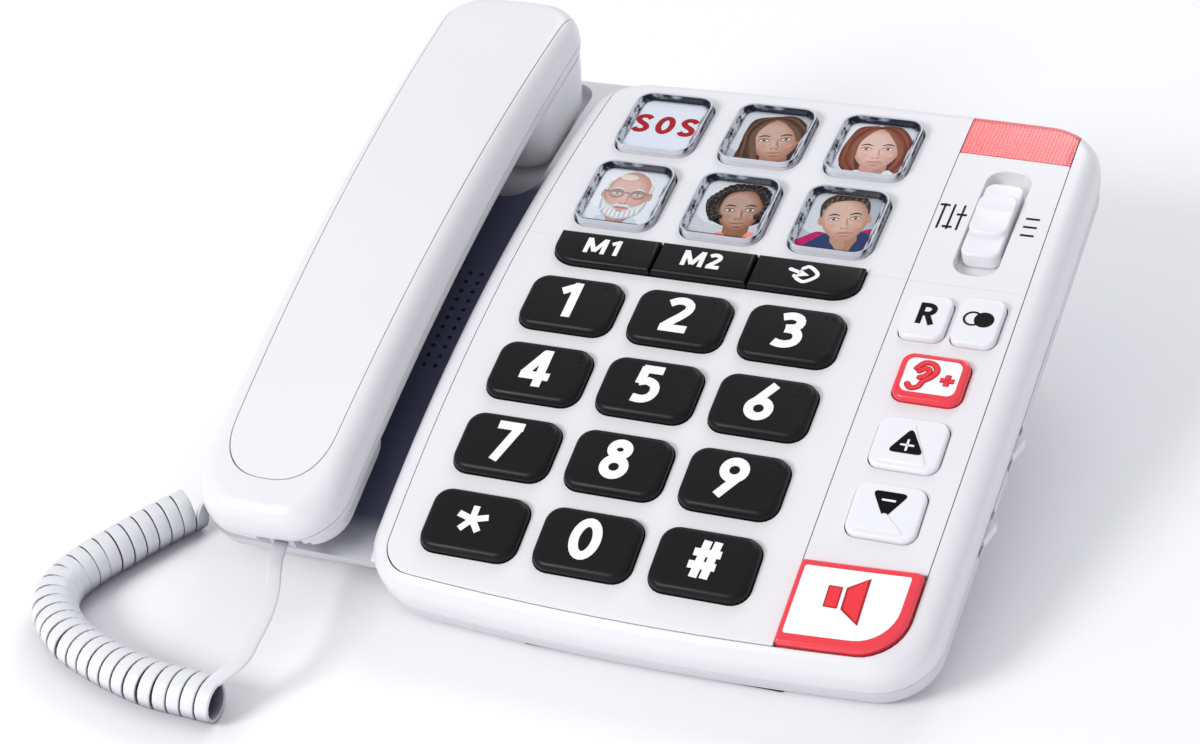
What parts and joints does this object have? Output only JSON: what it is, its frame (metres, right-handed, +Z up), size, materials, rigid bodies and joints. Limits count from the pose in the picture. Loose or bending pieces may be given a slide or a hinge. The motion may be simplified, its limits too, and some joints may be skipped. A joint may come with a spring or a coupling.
{
  "type": "corded telephone",
  "caption": "Corded desk telephone with large keys, picture memory keys, side-mounted handset in a cradle, curly handset cord and a wedge stand.",
  "frame": {"origin": "on the table under the middle of the telephone's outer size, cord left out", "axes": "+X to the user's right, +Y away from the user, +Z up; the deck slopes down towards -Y"},
  "size_m": [0.2474, 0.2493, 0.0866],
  "materials": {
    "white": "satin white",
    "panel": "satin white",
    "black": "satin black",
    "red": "gloss red",
    "lamp": "translucent red",
    "clear": "clear moulded plastic",
    "rubber": "matte",
    "silicone": "matte grey silicone",
    "board": "fibreglass board",
    "steel": "pressed steel",
    "dark": "matt",
    "cord": "satin flexible jacket"
  },
  "bodies": {
    "console": {"base_top_cover": "white", "base_bottom_cover": "white", "keypad_panel": "panel", "function_panel": "panel", "ring_lamp_lens": "lamp", "circuit_board": "board", "key_mat": "silicone", "loudspeaker": "steel", "line_jack": "dark", "cord_jack": "dark", "desk_stand": "white", "foot_front": "rubber", "foot_rear": "rubber", "cord_coil": "cord", "handset_lead": "cord", "base_lead": "cord", "base_plug": "clear"},
    "handset": {"handset_outer_shell": "white", "handset_inlay": "panel", "handset_inner_shell": "white", "receiver_capsule": "dark", "microphone_capsule": "dark", "handset_plug": "clear"},
    "key_1": {"key_1": "black"},
    "key_2": {"key_2": "black"},
    "key_3": {"key_3": "black"},
    "key_4": {"key_4": "black"},
    "key_5": {"key_5": "black"},
    "key_6": {"key_6": "black"},
    "key_7": {"key_7": "black"},
    "key_8": {"key_8": "black"},
    "key_9": {"key_9": "black"},
    "key_star": {"key_star": "black"},
    "key_0": {"key_0": "black"},
    "key_hash": {"key_hash": "black"},
    "key_m1": {"key_m1": "black"},
    "key_m2": {"key_m2": "black"},
    "key_store": {"key_store": "black"},
    "key_recall": {"key_recall": "white"},
    "key_redial": {"key_redial": "white"},
    "key_boost": {"key_boost": "red"},
    "key_volume_up": {"key_volume_up": "white"},
    "key_volume_down": {"key_volume_down": "white"},
    "key_speaker": {"key_speaker": "red"},
    "picture_key_1": {"picture_key_1_body": "white", "picture_key_1_cover": "clear"},
    "picture_key_2": {"picture_key_2_body": "white", "picture_key_2_cover": "clear"},
    "picture_key_3": {"picture_key_3_body": "white", "picture_key_3_cover": "clear"},
    "picture_key_4": {"picture_key_4_body": "white", "picture_key_4_cover": "clear"},
    "picture_key_5": {"picture_key_5_body": "white", "picture_key_5_cover": "clear"},
    "picture_key_6": {"picture_key_6_body": "white", "picture_key_6_cover": "clear"},
    "tone_slider": {"tone_slider": "white"},
    "ringer_volume_switch": {"ringer_volume_switch": "white"},
    "ringer_tone_switch": {"ringer_tone_switch": "white"},
    "hook_plunger": {"hook_plunger": "white"}
  },
  "joints": [
    {"name": "handset_lift", "type": "slide", "parent": "console", "child": "handset", "axis": [0, -0.1239, 0.9923], "range_m": [0, 0.09]},
    {"name": "hook_travel", "type": "slide", "parent": "console", "child": "hook_plunger", "axis": [0, -0.1899, 0.9818], "range_m": [0, 0.003]},
    {"name": "tone_slide", "type": "slide", "parent": "console", "child": "tone_slider", "axis": [0, 0.9844, 0.1757], "range_m": [-0.0045, 0.0045]},
    {"name": "ringer_volume_switch_slide", "type": "slide", "parent": "console", "child": "ringer_volume_switch", "axis": [0, 0.9609, 0.2771], "range_m": [-0.003, 0.003]},
    {"name": "ringer_tone_switch_slide", "type": "slide", "parent": "console", "child": "ringer_tone_switch", "axis": [0, 0.9482, 0.3177], "range_m": [-0.003, 0.003]},
    {"name": "key_1_press", "type": "slide", "parent": "console", "child": "key_1", "axis": [0, 0.2543, -0.9671], "range_m": [0, 0.0012], "stiffness_N_per_m": 400, "springref_m": -0.0012},
    {"name": "key_2_press", "type": "slide", "parent": "console", "child": "key_2", "axis": [0, 0.2543, -0.9671], "range_m": [0, 0.0012], "stiffness_N_per_m": 400, "springref_m": -0.0012},
    {"name": "key_3_press", "type": "slide", "parent": "console", "child": "key_3", "axis": [0, 0.2543, -0.9671], "range_m": [0, 0.0012], "stiffness_N_per_m": 400, "springref_m": -0.0012},
    {"name": "key_4_press", "type": "slide", "parent": "console", "child": "key_4", "axis": [0, 0.2909, -0.9568], "range_m": [0, 0.0012], "stiffness_N_per_m": 400, "springref_m": -0.0012},
    {"name": "key_5_press", "type": "slide", "parent": "console", "child": "key_5", "axis": [0, 0.2909, -0.9568], "range_m": [0, 0.0012], "stiffness_N_per_m": 400, "springref_m": -0.0012},
    {"name": "key_6_press", "type": "slide", "parent": "console", "child": "key_6", "axis": [0, 0.2909, -0.9568], "range_m": [0, 0.0012], "stiffness_N_per_m": 400, "springref_m": -0.0012},
    {"name": "key_7_press", "type": "slide", "parent": "console", "child": "key_7", "axis": [0, 0.327, -0.945], "range_m": [0, 0.0012], "stiffness_N_per_m": 400, "springref_m": -0.0012},
    {"name": "key_8_press", "type": "slide", "parent": "console", "child": "key_8", "axis": [0, 0.327, -0.945], "range_m": [0, 0.0012], "stiffness_N_per_m": 400, "springref_m": -0.0012},
    {"name": "key_9_press", "type": "slide", "parent": "console", "child": "key_9", "axis": [0, 0.327, -0.945], "range_m": [0, 0.0012], "stiffness_N_per_m": 400, "springref_m": -0.0012},
    {"name": "key_star_press", "type": "slide", "parent": "console", "child": "key_star", "axis": [0, 0.3627, -0.9319], "range_m": [0, 0.0012], "stiffness_N_per_m": 400, "springref_m": -0.0012},
    {"name": "key_0_press", "type": "slide", "parent": "console", "child": "key_0", "axis": [0, 0.3627, -0.9319], "range_m": [0, 0.0012], "stiffness_N_per_m": 400, "springref_m": -0.0012},
    {"name": "key_hash_press", "type": "slide", "parent": "console", "child": "key_hash", "axis": [0, 0.3627, -0.9319], "range_m": [0, 0.0012], "stiffness_N_per_m": 400, "springref_m": -0.0012},
    {"name": "key_m1_press", "type": "slide", "parent": "console", "child": "key_m1", "axis": [0, 0.2229, -0.9748], "range_m": [0, 0.0012], "stiffness_N_per_m": 400, "springref_m": -0.0012},
    {"name": "key_m2_press", "type": "slide", "parent": "console", "child": "key_m2", "axis": [0, 0.2229, -0.9748], "range_m": [0, 0.0012], "stiffness_N_per_m": 400, "springref_m": -0.0012},
    {"name": "key_store_press", "type": "slide", "parent": "console", "child": "key_store", "axis": [0, 0.2229, -0.9748], "range_m": [0, 0.0012], "stiffness_N_per_m": 400, "springref_m": -0.0012},
    {"name": "key_recall_press", "type": "slide", "parent": "console", "child": "key_recall", "axis": [0, 0.2355, -0.9719], "range_m": [0, 0.0012], "stiffness_N_per_m": 400, "springref_m": -0.0012},
    {"name": "key_redial_press", "type": "slide", "parent": "console", "child": "key_redial", "axis": [0, 0.2346, -0.9721], "range_m": [0, 0.0012], "stiffness_N_per_m": 400, "springref_m": -0.0012},
    {"name": "key_boost_press", "type": "slide", "parent": "console", "child": "key_boost", "axis": [0, 0.2662, -0.9639], "range_m": [0, 0.0012], "stiffness_N_per_m": 400, "springref_m": -0.0012},
    {"name": "key_volume_up_press", "type": "slide", "parent": "console", "child": "key_volume_up", "axis": [0, 0.2977, -0.9547], "range_m": [0, 0.0012], "stiffness_N_per_m": 400, "springref_m": -0.0012},
    {"name": "key_volume_down_press", "type": "slide", "parent": "console", "child": "key_volume_down", "axis": [0, 0.3286, -0.9445], "range_m": [0, 0.0012], "stiffness_N_per_m": 400, "springref_m": -0.0012},
    {"name": "key_speaker_press", "type": "slide", "parent": "console", "child": "key_speaker", "axis": [0, 0.3676, -0.93], "range_m": [0, 0.0012], "stiffness_N_per_m": 400, "springref_m": -0.0012},
    {"name": "picture_key_1_press", "type": "slide", "parent": "console", "child": "picture_key_1", "axis": [0, 0.1389, -0.9903], "range_m": [0, 0.0012], "stiffness_N_per_m": 400, "springref_m": -0.0012},
    {"name": "picture_key_2_press", "type": "slide", "parent": "console", "child": "picture_key_2", "axis": [0, 0.1389, -0.9903], "range_m": [0, 0.0012], "stiffness_N_per_m": 400, "springref_m": -0.0012},
    {"name": "picture_key_3_press", "type": "slide", "parent": "console", "child": "picture_key_3", "axis": [0, 0.1389, -0.9903], "range_m": [0, 0.0012], "stiffness_N_per_m": 400, "springref_m": -0.0012},
    {"name": "picture_key_4_press", "type": "slide", "parent": "console", "child": "picture_key_4", "axis": [0, 0.1881, -0.9821], "range_m": [0, 0.0012], "stiffness_N_per_m": 400, "springref_m": -0.0012},
    {"name": "picture_key_5_press", "type": "slide", "parent": "console", "child": "picture_key_5", "axis": [0, 0.1881, -0.9821], "range_m": [0, 0.0012], "stiffness_N_per_m": 400, "springref_m": -0.0012},
    {"name": "picture_key_6_press", "type": "slide", "parent": "console", "child": "picture_key_6", "axis": [0, 0.1881, -0.9821], "range_m": [0, 0.0012], "stiffness_N_per_m": 400, "springref_m": -0.0012}
  ],
  "couplings": [
    {"joint": "hook_travel", "follows": "handset_lift", "ratio": 0.033333}
  ]
}
